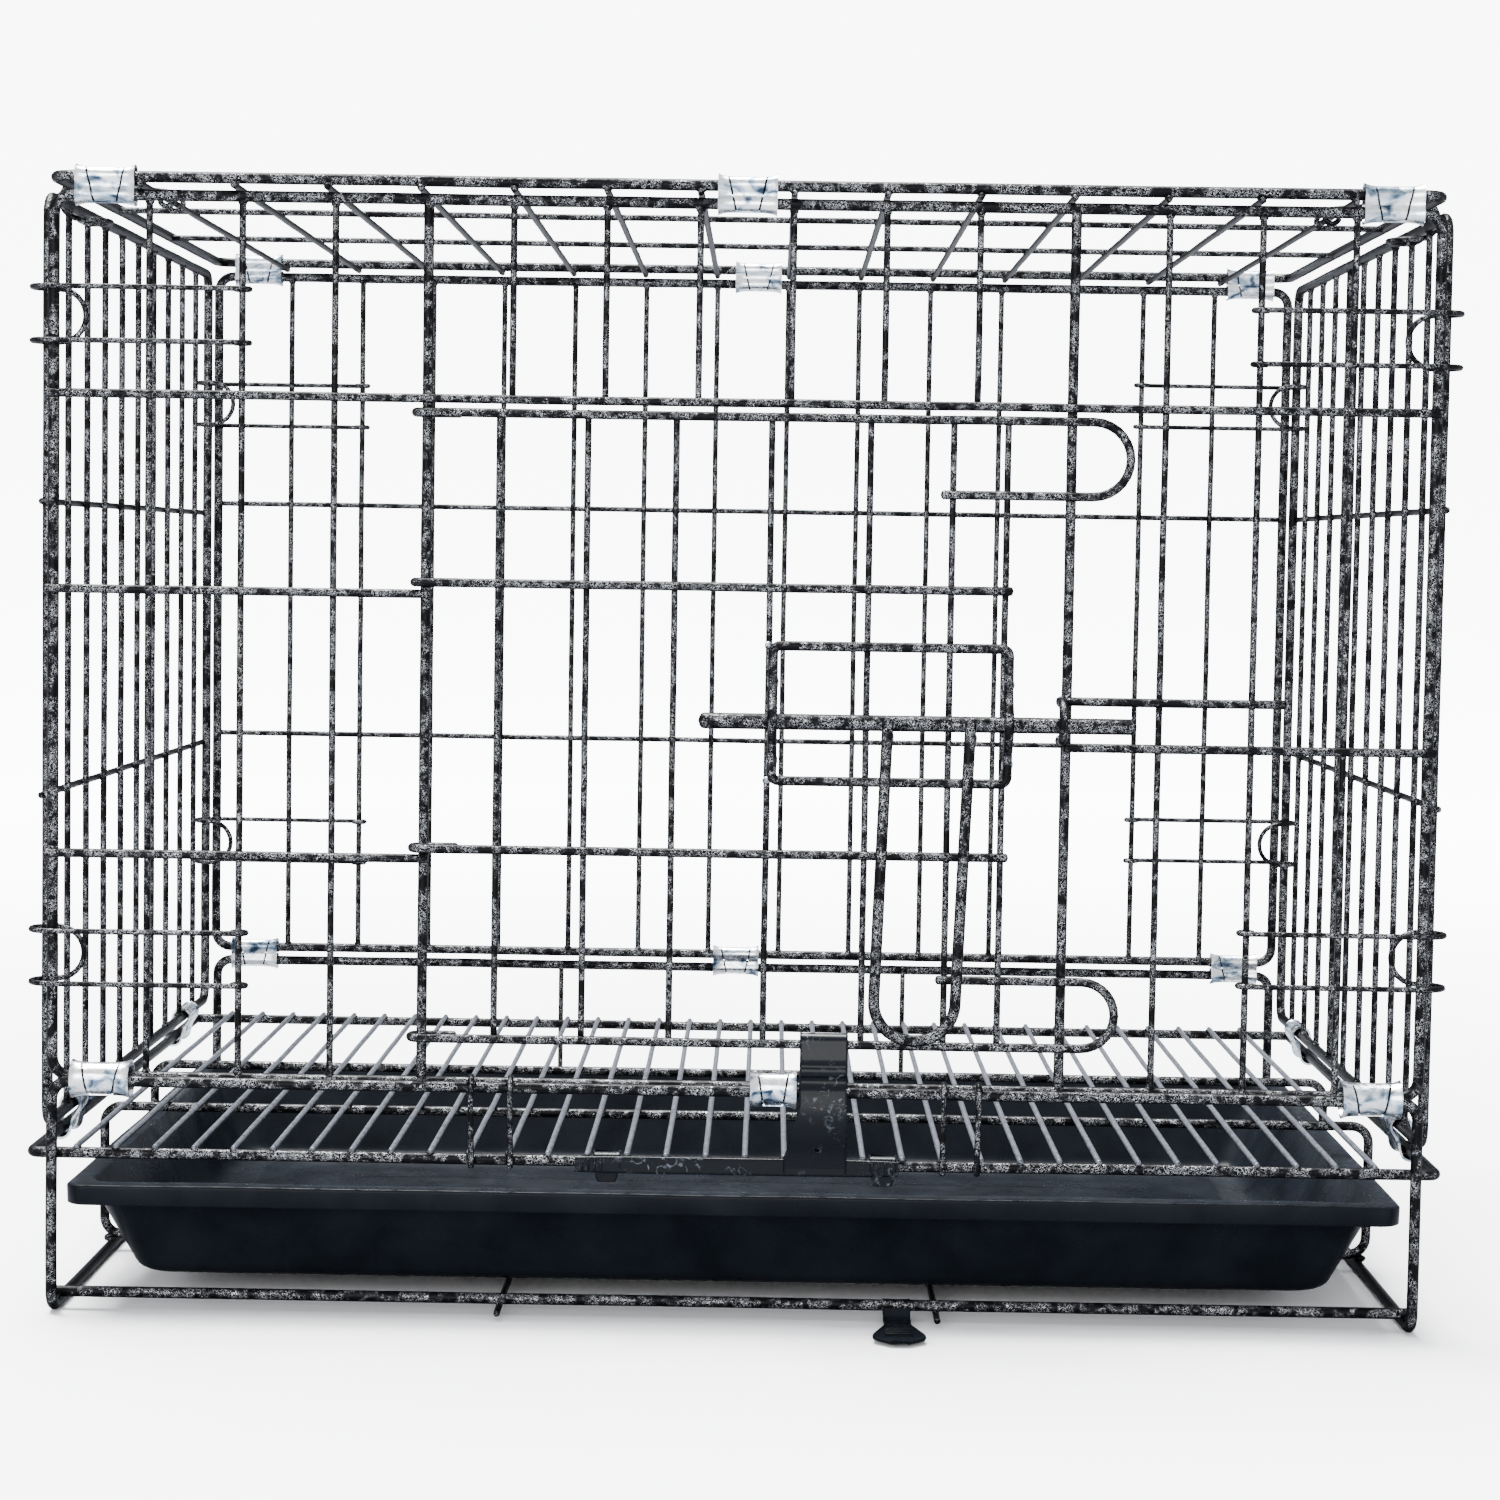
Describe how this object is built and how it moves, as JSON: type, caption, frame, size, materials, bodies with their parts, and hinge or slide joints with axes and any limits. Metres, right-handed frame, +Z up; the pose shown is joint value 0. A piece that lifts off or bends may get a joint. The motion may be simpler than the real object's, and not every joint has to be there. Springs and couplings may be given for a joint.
{
  "type": "wire dog crate",
  "caption": "Folding wire dog crate with a bolted front door, drop-down side panels, raised wire floor and a slide-out litter tray.",
  "frame": {"origin": "on the floor, under the middle of the bounding box", "axes": "+X to the right as seen from the front, along the width; -Y towards the front, where the door opens; +Z up"},
  "size_m": [0.6216, 0.4618, 0.498],
  "materials": {
    "hammered_coat": "black hammertone powder coat with fine silver veining",
    "zinc_plate": "bright zinc plate, slightly blue and mottled",
    "black_plastic": "smooth semi-gloss moulded plastic"
  },
  "bodies": {
    "crate": {"base_frame": "hammered_coat", "front_bottom_bar": "hammered_coat", "tray_runner_left": "hammered_coat", "tray_runner_right": "hammered_coat", "grate_support_front": "hammered_coat", "grate_support_rear": "hammered_coat", "grate_hanger_1": "hammered_coat", "grate_hanger_2": "hammered_coat", "grate_hanger_3": "hammered_coat", "grate_hanger_4": "hammered_coat", "floor_grate": "hammered_coat", "front_panel": "hammered_coat", "back_panel": "hammered_coat", "roof_panel": "hammered_coat", "bolt_eye": "hammered_coat", "hook_front_left_upper": "hammered_coat", "hook_front_left_lower": "hammered_coat", "hook_front_right_upper": "hammered_coat", "hook_front_right_lower": "hammered_coat", "hook_back_left_upper": "hammered_coat", "hook_back_left_lower": "hammered_coat", "hook_back_right_upper": "hammered_coat", "hook_back_right_lower": "hammered_coat", "hook_roof_left": "hammered_coat", "hook_roof_right": "hammered_coat", "clip_roof_front_left": "zinc_plate", "clip_roof_front_middle": "zinc_plate", "clip_roof_front_right": "zinc_plate", "clip_roof_back_left": "zinc_plate", "clip_roof_back_middle": "zinc_plate", "clip_roof_back_right": "zinc_plate", "clip_base_front_left": "zinc_plate", "clip_base_front_middle": "zinc_plate", "clip_base_front_right": "zinc_plate", "clip_base_back_left": "zinc_plate", "clip_base_back_middle": "zinc_plate", "clip_base_back_right": "zinc_plate", "clip_side_left_front": "zinc_plate", "clip_side_left_rear": "zinc_plate", "clip_side_right_front": "zinc_plate", "clip_side_right_rear": "zinc_plate"},
    "left_side": {"left_side_panel": "hammered_coat"},
    "right_side": {"right_side_panel": "hammered_coat"},
    "door": {"door_panel": "hammered_coat", "bolt_guide": "hammered_coat"},
    "bolt": {"bolt_rod": "hammered_coat"},
    "handle": {"bolt_handle": "hammered_coat"},
    "tray": {"tray": "black_plastic"},
    "tray_stop": {"tray_stop": "black_plastic"},
    "strap": {"strap_latch": "black_plastic"}
  },
  "joints": [
    {"name": "left_side_fold", "type": "hinge", "parent": "crate", "child": "left_side", "pos_m": [-0.302, 0.01896, 0.081], "axis": [0, 1, 0], "range_deg": [0, 90]},
    {"name": "right_side_fold", "type": "hinge", "parent": "crate", "child": "right_side", "pos_m": [0.302, 0.01896, 0.081], "axis": [0, -1, 0], "range_deg": [0, 86]},
    {"name": "door_swing", "type": "hinge", "parent": "crate", "child": "door", "pos_m": [-0.1365, -0.18874, 0.25875], "axis": [0, 0, -1], "range_deg": [0, 150]},
    {"name": "bolt_slide", "type": "slide", "parent": "door", "child": "bolt", "axis": [1, 0, 0], "range_m": [-0.04, 0.01]},
    {"name": "handle_swing", "type": "hinge", "parent": "bolt", "child": "handle", "pos_m": [0.08125, -0.19635, 0.2636], "axis": [-1, 0, 0], "range_deg": [0, 150]},
    {"name": "tray_slide", "type": "slide", "parent": "crate", "child": "tray", "axis": [0, -1, 0], "range_m": [0, 0.325]},
    {"name": "tray_stop_turn", "type": "hinge", "parent": "crate", "child": "tray_stop", "pos_m": [0.0725, -0.18385, 0.00749], "axis": [1, 0, 0], "range_deg": [-80, 0]},
    {"name": "strap_swing", "type": "hinge", "parent": "crate", "child": "strap", "pos_m": [0.0386, -0.18874, 0.07], "axis": [-1, 0, 0], "range_deg": [-120, 0]}
  ]
}
